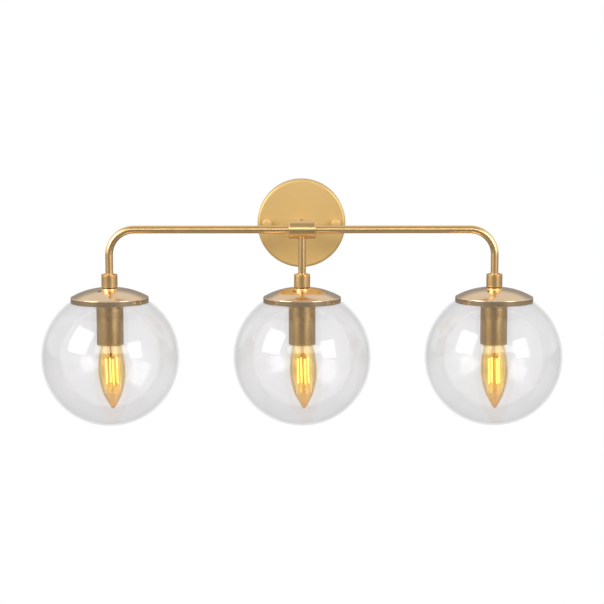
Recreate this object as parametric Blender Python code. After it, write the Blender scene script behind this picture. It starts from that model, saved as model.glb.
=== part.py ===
"""Vanity light bar: a wall canopy, an arm, a bar of bent tube and three clear glass globes.

Units are metres and +Z is up. The bar runs along X, and the wall is the plane y = 0 with the fixture on its
-Y side. The origin is the centre of the mounting plate's back, level with the bar.
Heights of a light's pieces are measured from the bar's axis, so they are negative.
"""

import math

import bmesh
import bpy
from mathutils import Matrix, Vector

MM = 0.001
TURN = 2 * math.pi
GAP = 0.3 * MM  # clearance between pieces that touch on the real object

# Overall layout
LIGHT_SPACING = 210 * MM
STANDOFF = 105 * MM  # wall to the bar's axis
LIGHTS = {"left": -LIGHT_SPACING, "center": 0.0, "right": LIGHT_SPACING}
SIDES = {"left": -1, "right": 1}

# Tubes and hub
TUBE_RADIUS = 4.2 * MM
TUBE_BORE = 3.2 * MM
BEND_RADIUS = 27.5 * MM  # to the tube's centreline
TUBE_END = -55.5 * MM
HUB_RADIUS = 10 * MM
HUB_LENGTH = 29 * MM
HUB_CHAMFER = 0.8 * MM
HUB_GRIP = 3.5 * MM  # how deep the wall arm and the centre stem enter the hub
BAR_GRIP = 8 * MM  # how deep each bar tube enters the hub
SOCKET_BORE = TUBE_RADIUS + GAP

# Wall canopy and what holds it
CANOPY_RADIUS = 50 * MM
CANOPY_DEPTH = 22 * MM
CANOPY_EDGE = 3 * MM
SHEET = 1.2 * MM
STUD_SPACING = 78 * MM
STUD_RADIUS = 2 * MM
CAP_NUT_RADIUS = 5.5 * MM
CAP_NUT_HEIGHT = 8 * MM
PLATE_RADIUS = 46 * MM
PLATE_SHEET = 1.5 * MM
PLATE_RISE = 4 * MM  # the stud ends of the plate stand this far off the wall
PLATE_FLAT = 29 * MM  # half the width that lies on the wall
BOX_SCREW_SPACING = 70 * MM
ARM_REAR = 11 * MM  # the arm's threaded end, from the wall

# One light, heights from the bar's axis
COLLAR_RADIUS = 8.75 * MM
COLLAR_TOP = -48.7 * MM
COLLAR_BOTTOM = -62.7 * MM
NIPPLE_RADIUS = 5 * MM
NIPPLE_BORE = 3.5 * MM
NIPPLE_HOLE = NIPPLE_RADIUS + GAP
CAP_APEX = -63 * MM
CAP_RADIUS = 42.4 * MM
CAP_BOTTOM = -79.7 * MM
CAP_SHEET = 1.0 * MM
CAP_CURVE_WIDTH = 60 * MM  # the dome follows an ellipse with these half axes
CAP_CURVE_HEIGHT = 37.5 * MM
VENT_RADIUS = 2 * MM
VENT_CIRCLE = 21 * MM
VENT_ANGLES = (-114, 6, 126)
GLOBE_RADIUS = 75 * MM
GLOBE_CENTER = -140.2 * MM
GLASS = 2 * MM
NECK_RADIUS = 40.5 * MM
NECK_TOP = -76.1 * MM
SHOULDER = -80.1 * MM
SEAL_TOP = -74.7 * MM
CUP_RADIUS = 14.6 * MM
CUP_TOP = -65.5 * MM
CUP_BOTTOM = -126.1 * MM
CUP_SHEET = 1.0 * MM
HOLDER_RADIUS = 10.5 * MM
HOLDER_TOP = -67 * MM
HOLDER_FLOOR = -91 * MM
HOLDER_BOTTOM = -113 * MM
SHELL_RADIUS = 7 * MM
SHELL_BORE = 6.4 * MM
BASE_RADIUS = 5.95 * MM  # E12 candelabra thread
BASE_FLANGE = 6.7 * MM
BASE_END = -96.2 * MM  # the bulb's base, at its insulated end
BULB_TOP = -113.6 * MM
BULB_TIP = -197.6 * MM
BULB_GLASS = 0.9 * MM
BULB_WIDTHS = [(12.3, -126), (15.1, -138), (16.5, -155), (15.3, -168), (12.0, -181), (5.8, -194)]  # mm
BULB_LEAN = math.radians(1.5)  # each bulb leans to the right in its socket
BULB_PIVOT = -105 * MM  # where the leaning axis crosses the light's own axis

# The filament assembly inside a bulb
STEM_TOP = -114.5 * MM
STEM_LENGTH = 57.5 * MM
STICK_CIRCLE = 6.1 * MM
STICK_TOP = -140.5 * MM
STICK_BOTTOM = -171 * MM
STICK_RADIUS = 0.8 * MM
STICK_PHASE = 20  # degrees
WIRE_HEIGHTS = (-141.5 * MM, -170 * MM)
WIRE_RADIUS = 0.35 * MM

# Wiring
LEAD_RADIUS = 1.2 * MM
LEAD_END = -88 * MM
BUNDLE_RADIUS = 1.7 * MM
TERMINAL_BOTTOM = 18 * MM
TERMINAL_SIZE = (22 * MM, 14 * MM, 11.5 * MM)

# Facets round a full turn
WIDE = 24
MIDDLE = 16
NARROW = 10
TUBE_SIDES = 12
BEND_STEPS = 6


def clear_scene():
    for item in list(bpy.data.objects):
        bpy.data.objects.remove(item, do_unlink=True)


def principled(name, color, roughness, metallic=0.0, transmission=0.0):
    material = bpy.data.materials.new(name)
    material.use_nodes = True
    shader = material.node_tree.nodes["Principled BSDF"]
    shader.inputs["Base Color"].default_value = (*color, 1)
    shader.inputs["Roughness"].default_value = roughness
    shader.inputs["Metallic"].default_value = metallic
    shader.inputs["Transmission Weight"].default_value = transmission
    material.diffuse_color = (*color, 1)
    return material


def make_frame(name, location, rotation=(0, 0, 0)):
    """An empty that a group of pieces is placed by."""
    empty = bpy.data.objects.new(name, None)
    empty.location = location
    empty.rotation_euler = rotation
    bpy.context.scene.collection.objects.link(empty)
    return empty


def mesh_from(bm, name):
    bmesh.ops.recalc_face_normals(bm, faces=bm.faces)
    mesh = bpy.data.meshes.new(name)
    bm.to_mesh(mesh)
    bm.free()
    mesh.shade_smooth()
    mesh.set_sharp_from_angle(angle=math.radians(35))
    return mesh


def place(name, data, material, parent, location=(0, 0, 0)):
    piece = bpy.data.objects.new(name, data)
    if not data.materials:
        data.materials.append(material)
    piece.parent = parent
    piece.location = location
    bpy.context.scene.collection.objects.link(piece)
    return piece


def cut(piece, cutter, operation="DIFFERENCE"):
    cutter.hide_render = True
    cutter.display_type = "WIRE"
    modifier = piece.modifiers.new(operation.capitalize(), "BOOLEAN")
    modifier.object = cutter
    modifier.operation = operation


def turned(name, section, segments):
    """A mesh turned about +Z. The section is (radius, height) points, either a closed loop or, where both
    its ends have radius 0, an open line from the axis to the axis."""
    bm = bmesh.new()
    points = [bm.verts.new((radius, 0, height)) for radius, height in section]
    following = points[1:] if section[0][0] == section[-1][0] == 0 else points[1:] + points[:1]
    edges = [bm.edges.new(pair) for pair in zip(points, following)]
    bmesh.ops.spin(
        bm,
        geom=points + edges,
        cent=(0, 0, 0),
        axis=(0, 0, 1),
        angle=TURN,
        steps=segments,
        use_merge=True,
    )
    bmesh.ops.remove_doubles(bm, verts=bm.verts, dist=1e-7)
    return mesh_from(bm, name)


def pipe_section(bore, radius, low, high):
    return [(bore, low), (radius, low), (radius, high), (bore, high)]


def rod_section(radius, low, high):
    return [(0, low), (radius, low), (radius, high), (0, high)]


def arc(center, radius, start, end, steps):
    """Points round a centre in a section, with angles in degrees from the radius axis."""
    angles = [math.radians(start + (end - start) * i / steps) for i in range(steps + 1)]
    return [(center[0] + radius * math.cos(a), center[1] + radius * math.sin(a)) for a in angles]


def add_prism(bm, outline, low, high):
    """A straight solid with this (x, y) outline between two heights."""
    base = [bm.verts.new((x, y, low)) for x, y in outline]
    top = [bm.verts.new((x, y, high)) for x, y in outline]
    bm.faces.new(base)
    bm.faces.new(top)
    for i in range(len(outline)):
        j = (i + 1) % len(outline)
        bm.faces.new((base[i], base[j], top[j], top[i]))


def polygon(center, radius, sides, phase=0.0):
    angles = [TURN * (i + phase) / sides for i in range(sides)]
    return [(center[0] + radius * math.cos(a), center[1] + radius * math.sin(a)) for a in angles]


def slot(center, half_length, radius, steps=6):
    """The outline of an upright slot with round ends."""
    upper = arc((center[0], center[1] + half_length), radius, 0, 180, steps)
    lower = arc((center[0], center[1] - half_length), radius, 180, 360, steps)
    return upper + lower


def block(center, width, height):
    x, y = width / 2, height / 2
    return [(center[0] + sx * x, center[1] + sy * y) for sx, sy in ((-1, -1), (1, -1), (1, 1), (-1, 1))]


def prisms(name, outlines, low, high):
    bm = bmesh.new()
    for outline in outlines:
        add_prism(bm, outline, low, high)
    return mesh_from(bm, name)


def hex_nut(name, across_flats, bore, low, high, material, parent, location=(0, 0, 0)):
    corner_radius = across_flats / 2 / math.cos(math.pi / 6)
    nut = place(name, prisms(name, [polygon((0, 0), corner_radius, 6)], low, high), material, parent, location)
    bore_mesh = prisms(name + "_bore", [polygon((0, 0), bore, NARROW)], low - MM, high + MM)
    cut(nut, place(name + "_bore", bore_mesh, material, parent, location))
    return nut


def rounded_route(corners, radii, steps=5):
    """A route through these corners, with an arc of the given radius at each inner corner."""
    corners = [Vector(corner) for corner in corners]
    route = [corners[0]]
    for before, corner, after, radius in zip(corners, corners[1:], corners[2:], radii):
        arriving = (corner - before).normalized()
        leaving = (after - corner).normalized()
        half_turn = arriving.angle(leaving) / 2
        inward = (leaving - arriving).normalized()
        center = corner + inward * radius / math.cos(half_turn)
        spoke = corner - arriving * radius * math.tan(half_turn) - center
        axis = arriving.cross(leaving).normalized()
        for i in range(steps + 1):
            route.append(center + Matrix.Rotation(2 * half_turn * i / steps, 3, axis) @ spoke)
    return route + [corners[-1]]


def wire(name, route, radius, material):
    curve = bpy.data.curves.new(name, "CURVE")
    curve.dimensions = "3D"
    curve.bevel_depth = radius
    curve.bevel_resolution = 2
    curve.use_fill_caps = True
    spline = curve.splines.new("POLY")
    spline.points.add(len(route) - 1)
    for point, place_at in zip(spline.points, route):
        point.co = (*place_at, 1)
    return place(name, curve, material, None)


# Wall group. Its frame has +Z pointing away from the wall and +Y pointing up.


def make_mounting_plate(frame, material):
    """A round steel plate whose left and right ends stand off the wall, to clear the stud heads."""
    outer = PLATE_RADIUS + MM
    bent = PLATE_FLAT + PLATE_RISE
    back = [(-outer, PLATE_RISE), (-bent, PLATE_RISE), (-PLATE_FLAT, 0), (0, 0), (PLATE_FLAT, 0)]
    back += [(bent, PLATE_RISE), (outer, PLATE_RISE)]
    front = [(x, z + PLATE_SHEET) for x, z in reversed(back)]
    mesh = prisms("mounting_plate", [back + front], -outer, outer)
    mesh.transform(Matrix.Rotation(math.pi / 2, 4, "X"))
    plate = place("mounting_plate", mesh, material, frame)
    disc = prisms("plate_outline", [polygon((0, 0), PLATE_RADIUS, WIDE)], -MM, PLATE_RISE + 4 * MM)
    cut(plate, place("plate_outline", disc, material, frame), "INTERSECT")
    openings = [slot((side * 17 * MM, 0), 8 * MM, 6 * MM) for side in SIDES.values()]
    openings += [slot((0, side * BOX_SCREW_SPACING / 2), 3 * MM, 2.3 * MM) for side in SIDES.values()]
    openings += [polygon((side * STUD_SPACING / 2, 0), STUD_RADIUS + GAP, NARROW) for side in SIDES.values()]
    openings.append(polygon((0, -20 * MM), 2.7 * MM, NARROW))
    holes = prisms("plate_holes", openings, -MM, PLATE_RISE + 4 * MM)
    cut(plate, place("plate_holes", holes, material, frame))


def make_canopy(frame, material):
    inner_radius = CANOPY_RADIUS - SHEET
    floor = CANOPY_DEPTH - SHEET
    section = [(inner_radius, 0), (CANOPY_RADIUS, 0)]
    section += arc((CANOPY_RADIUS - CANOPY_EDGE, CANOPY_DEPTH - CANOPY_EDGE), CANOPY_EDGE, 0, 90, 3)
    section += [(TUBE_RADIUS + GAP, CANOPY_DEPTH), (TUBE_RADIUS + GAP, floor)]
    inner_edge = CANOPY_EDGE - SHEET
    section += arc((inner_radius - inner_edge, floor - inner_edge), inner_edge, 90, 0, 2)
    canopy = place("canopy", turned("canopy", section, WIDE + 8), material, frame)
    outlines = [polygon((side * STUD_SPACING / 2, 0), STUD_RADIUS + GAP, NARROW) for side in SIDES.values()]
    holes = prisms("canopy_holes", outlines, floor - MM, CANOPY_DEPTH + MM)
    cut(canopy, place("canopy_holes", holes, material, frame))


def make_stud_set(frame, side, sign, steel, brass):
    """The stud, its lock nut on the plate and the domed nut that holds the canopy."""
    spot = (sign * STUD_SPACING / 2, 0, 0)
    head_front = PLATE_RISE - GAP
    stud_tip = CANOPY_DEPTH + 5 * MM
    stud = [(0, head_front - 2 * MM), (3.7 * MM, head_front - 2 * MM), (3.7 * MM, head_front)]
    stud += [(STUD_RADIUS, head_front), (STUD_RADIUS, stud_tip), (0, stud_tip)]
    place(f"stud_{side}", turned("stud", stud, NARROW), steel, frame, spot)
    nut_back = PLATE_RISE + PLATE_SHEET + GAP
    hex_nut(f"stud_nut_{side}", 7 * MM, STUD_RADIUS + GAP, nut_back, nut_back + 3.2 * MM, steel, frame, spot)
    low = CANOPY_DEPTH + GAP
    high = low + CAP_NUT_HEIGHT
    dome = 3 * MM
    cap_nut = [(STUD_RADIUS + GAP, low), (CAP_NUT_RADIUS - 0.5 * MM, low), (CAP_NUT_RADIUS, low + 0.5 * MM)]
    cap_nut += [
        (CAP_NUT_RADIUS * math.cos(a), high - dome + dome * math.sin(a))
        for a in (math.radians(step * 22.5) for step in range(4))
    ]
    cap_nut += [(0, high), (0, stud_tip + MM), (STUD_RADIUS + GAP, stud_tip + MM)]
    place(f"cap_nut_{side}", turned_loop("cap_nut", cap_nut, MIDDLE), brass, frame, spot)


def turned_loop(name, section, segments):
    """Like turned, for a section with a point on the axis at its top and at its blind hole's end."""
    split = next(i for i, (radius, _) in enumerate(section) if radius == 0)
    return turned(name, section[split + 1 :] + section[: split + 1], segments)


def make_ground_screw(frame, material):
    front = PLATE_SHEET + GAP
    section = [(0, GAP), (2.4 * MM, GAP), (2.4 * MM, front), (4.6 * MM, front), (4.6 * MM, front + MM)]
    section += [(3.4 * MM, front + MM), (3.2 * MM, front + 3.4 * MM), (0, front + 3.4 * MM)]
    place("ground_screw", turned("ground_screw", section, NARROW), material, frame, (0, -20 * MM, 0))


def make_wall_arm(frame, brass, steel):
    """The tube from the canopy to the hub, the ring at the canopy and the nut behind it."""
    hub_back = STANDOFF - HUB_RADIUS
    tube = pipe_section(TUBE_BORE, TUBE_RADIUS, ARM_REAR, hub_back + HUB_GRIP)
    place("wall_arm", turned("wall_arm", tube, TUBE_SIDES), brass, frame)
    low = CANOPY_DEPTH + GAP
    high = low + 5 * MM
    bore = TUBE_RADIUS + GAP
    ring = [(bore, low), (6 * MM, low), (6 * MM, high - 0.6 * MM), (5.6 * MM, high), (5 * MM, high)]
    ring += [(5 * MM, high - 1.5 * MM), (bore, high - 1.5 * MM)]
    place("wall_arm_ring", turned("wall_arm_ring", ring, MIDDLE), brass, frame)
    nut_front = CANOPY_DEPTH - SHEET - GAP
    hex_nut("wall_arm_nut", 13 * MM, bore, nut_front - 4 * MM, nut_front, steel, frame)


def make_terminal_block(frame, material):
    width, height, depth = TERMINAL_SIZE
    outline = block((0, TERMINAL_BOTTOM + height / 2), width, height)
    low = PLATE_SHEET + GAP
    terminal = place("terminal_block", prisms("terminal_block", [outline], low, low + depth), material, frame)
    bevel = terminal.modifiers.new("Bevel", "BEVEL")
    bevel.width = 0.8 * MM
    bevel.segments = 1


# Bar group. Its frame is at the hub's centre, with world axes.


def make_hub(frame, material):
    """A barrel bored across for the two bar tubes, from behind for the wall arm and from below."""
    half = HUB_LENGTH / 2
    rim = HUB_RADIUS - HUB_CHAMFER
    section = [(SOCKET_BORE, -half), (rim, -half), (HUB_RADIUS, -half + HUB_CHAMFER)]
    section += [(HUB_RADIUS, half - HUB_CHAMFER), (rim, half), (SOCKET_BORE, half)]
    mesh = turned("hub", section, WIDE)
    mesh.transform(Matrix.Rotation(math.pi / 2, 4, "Y"))
    hub = place("hub", mesh, material, frame)
    for name, turn in (("hub_arm_bore", (-math.pi / 2, 0, 0)), ("hub_stem_bore", (math.pi, 0, 0))):
        bore = place(name, turned(name, rod_section(SOCKET_BORE, 0, HUB_RADIUS + MM), TUBE_SIDES), material, frame)
        bore.rotation_euler = turn
        cut(hub, bore)


def make_bar_tube(frame, side, sign, material):
    """A hollow tube that leaves the hub along X and turns down to its light."""
    bend_start = LIGHT_SPACING - BEND_RADIUS
    stations = [Matrix.Translation((HUB_LENGTH / 2 - BAR_GRIP, 0, 0))]
    for step in range(BEND_STEPS + 1):
        angle = math.pi / 2 * step / BEND_STEPS
        reach = bend_start + BEND_RADIUS * math.sin(angle)
        drop = BEND_RADIUS * (math.cos(angle) - 1)
        stations.append(Matrix.Translation((reach, 0, drop)) @ Matrix.Rotation(angle, 4, "Y"))
    stations.append(Matrix.Translation((LIGHT_SPACING, 0, TUBE_END)) @ Matrix.Rotation(math.pi / 2, 4, "Y"))
    bm = bmesh.new()
    passes = [(station, TUBE_RADIUS) for station in stations]
    passes += [(station, TUBE_BORE) for station in reversed(stations)]
    rings = []
    for station, radius in passes:
        circle = [Vector((0, y, z)) for y, z in polygon((0, 0), radius, TUBE_SIDES)]
        rings.append([bm.verts.new(station @ point) for point in circle])
    for near, far in zip(rings, rings[1:] + rings[:1]):
        for i in range(TUBE_SIDES):
            j = (i + 1) % TUBE_SIDES
            bm.faces.new((near[i], near[j], far[j], far[i]))
    bmesh.ops.scale(bm, verts=bm.verts, vec=(sign, 1, 1))
    place(f"bar_tube_{side}", mesh_from(bm, f"bar_tube_{side}"), material, frame)


def make_center_stem(frame, material):
    section = pipe_section(TUBE_BORE, TUBE_RADIUS, TUBE_END, -HUB_RADIUS + HUB_GRIP)
    place("center_stem", turned("center_stem", section, TUBE_SIDES), material, frame)


# Pieces of one light. Each mesh is made once and shared by the three lights.


def dome_height(radius):
    """Height of the cap's outer face at a radius."""
    return CAP_APEX - CAP_CURVE_HEIGHT * (1 - math.sqrt(1 - (radius / CAP_CURVE_WIDTH) ** 2))


def collar_mesh():
    recess = 6 * MM
    recess_floor = COLLAR_TOP - 3 * MM
    step = TUBE_END - GAP
    edge = 0.4 * MM
    section = [(recess, COLLAR_TOP), (COLLAR_RADIUS - edge, COLLAR_TOP), (COLLAR_RADIUS, COLLAR_TOP - edge)]
    section += [(COLLAR_RADIUS, COLLAR_BOTTOM + edge), (COLLAR_RADIUS - edge, COLLAR_BOTTOM)]
    section += [(NIPPLE_HOLE, COLLAR_BOTTOM), (NIPPLE_HOLE, step), (SOCKET_BORE, step)]
    section += [(SOCKET_BORE, recess_floor), (recess, recess_floor)]
    return turned("collar", section, MIDDLE)


def nipple_mesh():
    low = HOLDER_TOP - 11 * MM
    return turned("nipple", pipe_section(NIPPLE_BORE, NIPPLE_RADIUS, low, TUBE_END - 2 * GAP), NARROW)


def cap_mesh():
    corner = 0.9 * MM
    rim = CAP_RADIUS - corner
    radii = [NIPPLE_HOLE + (rim - NIPPLE_HOLE) * i / 5 for i in range(6)]
    outer = [(radius, dome_height(radius)) for radius in radii]
    outer += [(CAP_RADIUS, outer[-1][1] - corner), (CAP_RADIUS, CAP_BOTTOM + 0.6 * MM)]
    outer += [(CAP_RADIUS - 0.4 * MM, CAP_BOTTOM), (CAP_RADIUS - CAP_SHEET, CAP_BOTTOM)]
    inner = [(CAP_RADIUS - CAP_SHEET, dome_height(rim) - CAP_SHEET * 1.3)]
    inner += [(radius, dome_height(radius) - CAP_SHEET * 1.15) for radius in reversed(radii[:-1])]
    return turned("glass_cap", outer + inner, WIDE)


def vent_mesh():
    outlines = []
    for angle in VENT_ANGLES:
        turn = math.radians(angle)
        center = (VENT_CIRCLE * math.cos(turn), VENT_CIRCLE * math.sin(turn))
        outlines.append(polygon(center, VENT_RADIUS, NARROW))
    return prisms("vents", outlines, CAP_BOTTOM, CAP_APEX)


def seal_mesh():
    low = NECK_TOP + GAP
    section = pipe_section(NECK_RADIUS - GLASS - 0.4 * MM, NECK_RADIUS - 0.5 * MM, low, SEAL_TOP)
    return turned("globe_seal", section, WIDE)


def globe_mesh():
    """A blown globe with a shoulder and a short neck that screws into the cap."""
    outer_turn = 51.5
    inner_turn = 50.5
    center = (0, GLOBE_CENTER)
    section = arc(center, GLOBE_RADIUS, -90, 0, 6)[:-1] + arc(center, GLOBE_RADIUS, 0, outer_turn, 3)
    section[0] = (0, GLOBE_CENTER - GLOBE_RADIUS)
    section += [(45 * MM, SHOULDER - 0.2 * MM), (NECK_RADIUS + 0.6 * MM, SHOULDER)]
    section += [(NECK_RADIUS, SHOULDER + 0.6 * MM), (NECK_RADIUS, NECK_TOP)]
    section += [(NECK_RADIUS - GLASS, NECK_TOP), (NECK_RADIUS - GLASS, SHOULDER - 1 * MM)]
    section += [(NECK_RADIUS, SHOULDER - 2.4 * MM)]
    section += arc(center, GLOBE_RADIUS - GLASS, inner_turn, -90, 8)
    section[-1] = (0, GLOBE_CENTER - GLOBE_RADIUS + GLASS)
    return turned("globe", section, WIDE)


def cup_mesh():
    edge = 0.8 * MM
    bore = CUP_RADIUS - CUP_SHEET
    section = [(NIPPLE_HOLE, CUP_TOP), (CUP_RADIUS - edge, CUP_TOP), (CUP_RADIUS, CUP_TOP - edge)]
    section += [(CUP_RADIUS, CUP_BOTTOM + edge), (CUP_RADIUS - 0.4 * MM, CUP_BOTTOM), (bore, CUP_BOTTOM)]
    section += [(bore, CUP_TOP - CUP_SHEET), (NIPPLE_HOLE, CUP_TOP - CUP_SHEET)]
    return turned("socket_cup", section, MIDDLE)


def holder_mesh():
    """The insulating body, threaded for the nipple above and hollow for the screw shell below."""
    lead_hole = 3.2 * MM
    thread_floor = HOLDER_TOP - 11.5 * MM
    cavity = SHELL_RADIUS + GAP
    section = [(NIPPLE_HOLE, HOLDER_TOP), (9 * MM, HOLDER_TOP), (9 * MM, HOLDER_TOP - 7 * MM)]
    section += [(HOLDER_RADIUS, HOLDER_TOP - 9 * MM), (HOLDER_RADIUS, HOLDER_BOTTOM), (cavity, HOLDER_BOTTOM)]
    section += [(cavity, HOLDER_FLOOR), (lead_hole, HOLDER_FLOOR), (lead_hole, thread_floor)]
    section += [(NIPPLE_HOLE, thread_floor)]
    return turned("lampholder", section, MIDDLE)


def shell_mesh():
    low = HOLDER_BOTTOM + 0.5 * MM
    return turned("screw_shell", pipe_section(SHELL_BORE, SHELL_RADIUS, low, HOLDER_FLOOR - 1.5 * MM), MIDDLE)


def contact_mesh():
    top = HOLDER_FLOOR - GAP
    section = [(0, top), (4.5 * MM, top), (4.5 * MM, top - 0.6 * MM), (2 * MM, top - 0.8 * MM)]
    section += [(1.5 * MM, top - 2.2 * MM), (0, top - 2.2 * MM)]
    return turned("center_contact", section, NARROW)


def bulb_profile():
    """The candle bulb's outer line, from its neck to its tip, as (radius, height)."""
    widths = [(radius * MM, height * MM) for radius, height in BULB_WIDTHS]
    return [(BASE_FLANGE + 0.1 * MM, BULB_TOP), *widths, (0, BULB_TIP)]


def bulb_glass_mesh():
    outer = bulb_profile()
    inner = [(radius - BULB_GLASS, height) for radius, height in outer[:-2]]
    inner += [(4.6 * MM, outer[-2][1] + 0.3 * MM), (0, BULB_TIP + 1.4 * MM)]
    return turned("bulb_glass", list(reversed(outer)) + inner, MIDDLE)


def bulb_base_mesh():
    low = BULB_TOP + GAP
    bore = 5.2 * MM
    floor = BASE_END - 3.5 * MM
    section = [(bore, low), (BASE_FLANGE, low), (BASE_FLANGE, low + 0.4 * MM), (BASE_RADIUS, low + 0.7 * MM)]
    section += [(BASE_RADIUS, BASE_END - 3 * MM), (3.1 * MM, BASE_END), (0, BASE_END), (0, floor)]
    section += [(bore, floor)]
    return turned_loop("bulb_base", section, MIDDLE)


def bulb_contact_mesh():
    low = BASE_END + GAP
    section = [(0, low), (2.7 * MM, low), (2.2 * MM, low + 1.2 * MM), (0, low + 1.8 * MM)]
    return turned("bulb_contact", section, NARROW)


def add_rod(bm, start, end, radius, sides):
    """A closed rod between two points."""
    along = Vector(end) - Vector(start)
    middle = (Vector(end) + Vector(start)) / 2
    turn = Matrix.Translation(middle) @ along.to_track_quat("Z", "Y").to_matrix().to_4x4()
    bmesh.ops.create_cone(
        bm,
        cap_ends=True,
        segments=sides,
        radius1=radius,
        radius2=radius,
        depth=along.length,
        matrix=turn,
    )


def filament_pieces():
    """The glass stem as a mesh, and the four sticks with their wires as a second mesh to join to it."""
    low = STEM_TOP - STEM_LENGTH
    stem = [(0, STEM_TOP), (4.2 * MM, STEM_TOP), (2.4 * MM, STEM_TOP - 6.5 * MM)]
    stem += [(1.7 * MM, STEM_TOP - 22.5 * MM), (1.2 * MM, low), (0, low)]
    sticks = []
    for quarter in range(4):
        turn = math.radians(STICK_PHASE + 90 * quarter)
        spot = Vector((math.cos(turn), math.sin(turn), 0)) * STICK_CIRCLE
        bm = bmesh.new()
        add_rod(bm, spot + Vector((0, 0, STICK_TOP)), spot + Vector((0, 0, STICK_BOTTOM)), STICK_RADIUS, 6)
        sticks.append(mesh_from(bm, f"stick_{quarter}"))
        bm = bmesh.new()
        for height in WIRE_HEIGHTS:
            add_rod(bm, Vector((0, 0, height)), spot + Vector((0, 0, height)), WIRE_RADIUS, 6)
        sticks.append(mesh_from(bm, f"wire_{quarter}"))
    return turned("bulb_filament", stem, 8), sticks


def make_filament(frame, drop, side, material, stem, sticks):
    """The stem with its sticks joined to it, so that the assembly is one solid."""
    filament = place(f"bulb_filament_{side}", stem, material, frame, drop)
    for i, mesh in enumerate(sticks):
        cut(filament, place(f"filament_{side}_{i}", mesh, material, frame, drop), "UNION")


def make_lights(materials):
    """The thirteen pieces of each light. Its globe turns on the Z axis of light_axis, and its bulb on the
    Z axis of bulb_axis, which leans."""
    fixed = [
        ("collar", collar_mesh(), "brass"),
        ("nipple", nipple_mesh(), "steel"),
        ("globe_seal", seal_mesh(), "rubber"),
        ("globe", globe_mesh(), "glass"),
        ("socket_cup", cup_mesh(), "brass"),
        ("lampholder", holder_mesh(), "phenolic"),
        ("screw_shell", shell_mesh(), "contact"),
        ("center_contact", contact_mesh(), "contact"),
    ]
    leaning = [
        ("bulb_glass", bulb_glass_mesh(), "amber"),
        ("bulb_base", bulb_base_mesh(), "contact"),
        ("bulb_contact", bulb_contact_mesh(), "contact"),
    ]
    cap, vents = cap_mesh(), vent_mesh()
    stem, sticks = filament_pieces()
    drop = (0, 0, -BULB_PIVOT)  # the bulb's pieces are drawn at the bar's height, like the others
    for side, x in LIGHTS.items():
        frame = make_frame(f"light_axis_{side}", (x, -STANDOFF, 0))
        for name, mesh, material in fixed:
            place(f"{name}_{side}", mesh, materials[material], frame)
        glass_cap = place(f"glass_cap_{side}", cap, materials["brass"], frame)
        cut(glass_cap, place(f"vents_{side}", vents, materials["brass"], frame))
        bulb_frame = make_frame(f"bulb_axis_{side}", (x, -STANDOFF, BULB_PIVOT), (0, -BULB_LEAN, 0))
        for name, mesh, material in leaning:
            place(f"{name}_{side}", mesh, materials[material], bulb_frame, drop)
        make_filament(bulb_frame, drop, side, materials["filament"], stem, sticks)


def make_leads(material, ground_material):
    """One two-core lead for each light, from its lampholder to the terminal block, and the ground wire."""
    bundle = {
        "left": (-BUNDLE_RADIUS * math.cos(math.pi / 6), BUNDLE_RADIUS / 2, -6 * MM),
        "center": (0, -BUNDLE_RADIUS, -3.3 * MM),
        "right": (BUNDLE_RADIUS * math.cos(math.pi / 6), BUNDLE_RADIUS / 2, -6 * MM),
    }
    for side, (across, height, rise) in bundle.items():
        x = LIGHTS[side]
        corners = [(x, -STANDOFF, LEAD_END), (x, -STANDOFF, height)]
        radii = [6 * MM]
        if x:
            corners.append((across, -STANDOFF, height))
            radii = [BEND_RADIUS, 6 * MM]
        corners += [(across, rise, height), (across, rise, TERMINAL_BOTTOM - GAP)]
        wire(f"lead_{side}", rounded_route(corners, radii + [5 * MM]), LEAD_RADIUS, material)
    screw_side = 6 * MM
    nut_side = 9 * MM
    run = 13 * MM
    depth = -18.5 * MM
    corners = [(screw_side, -3.3 * MM, -20 * MM), (run, -3.3 * MM, -20 * MM), (run, depth, -20 * MM)]
    corners += [(run, depth, 0), (nut_side, depth, 0)]
    wire("ground_wire", rounded_route(corners, [4 * MM] * 3, 3), MM, ground_material)


def make_materials():
    return {
        "brass": principled("satin_gold", (0.60, 0.40, 0.17), 0.32, metallic=1.0),
        "steel": principled("zinc_steel", (0.55, 0.56, 0.58), 0.4, metallic=1.0),
        "contact": principled("contact_brass", (0.75, 0.62, 0.36), 0.3, metallic=1.0),
        "glass": principled("clear_glass", (1.0, 1.0, 1.0), 0.02, transmission=1.0),
        "amber": principled("amber_glass", (1.0, 0.72, 0.38), 0.02, transmission=1.0),
        "filament": principled("filament", (1.0, 0.75, 0.25), 0.5),
        "phenolic": principled("phenolic", (0.03, 0.025, 0.02), 0.5),
        "rubber": principled("rubber", (0.85, 0.85, 0.83), 0.6),
        "lead": principled("lead_sleeve", (0.75, 0.74, 0.7), 0.5),
        "ground": principled("ground_green", (0.05, 0.28, 0.09), 0.45),
    }


def main():
    clear_scene()
    materials = make_materials()
    brass, steel = materials["brass"], materials["steel"]
    wall = make_frame("wall_frame", (0, 0, 0), (math.pi / 2, 0, 0))
    make_mounting_plate(wall, steel)
    make_canopy(wall, brass)
    make_wall_arm(wall, brass, steel)
    make_ground_screw(wall, materials["ground"])
    make_terminal_block(wall, materials["phenolic"])
    bar = make_frame("bar_frame", (0, -STANDOFF, 0))
    make_hub(bar, brass)
    make_center_stem(bar, brass)
    for side, sign in SIDES.items():
        make_stud_set(wall, side, sign, steel, brass)
        make_bar_tube(bar, side, sign, brass)
    make_lights(materials)
    make_leads(materials["lead"], materials["ground"])


main()
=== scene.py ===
import math

import bmesh
import bpy
from mathutils import Euler, Matrix, Vector


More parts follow.
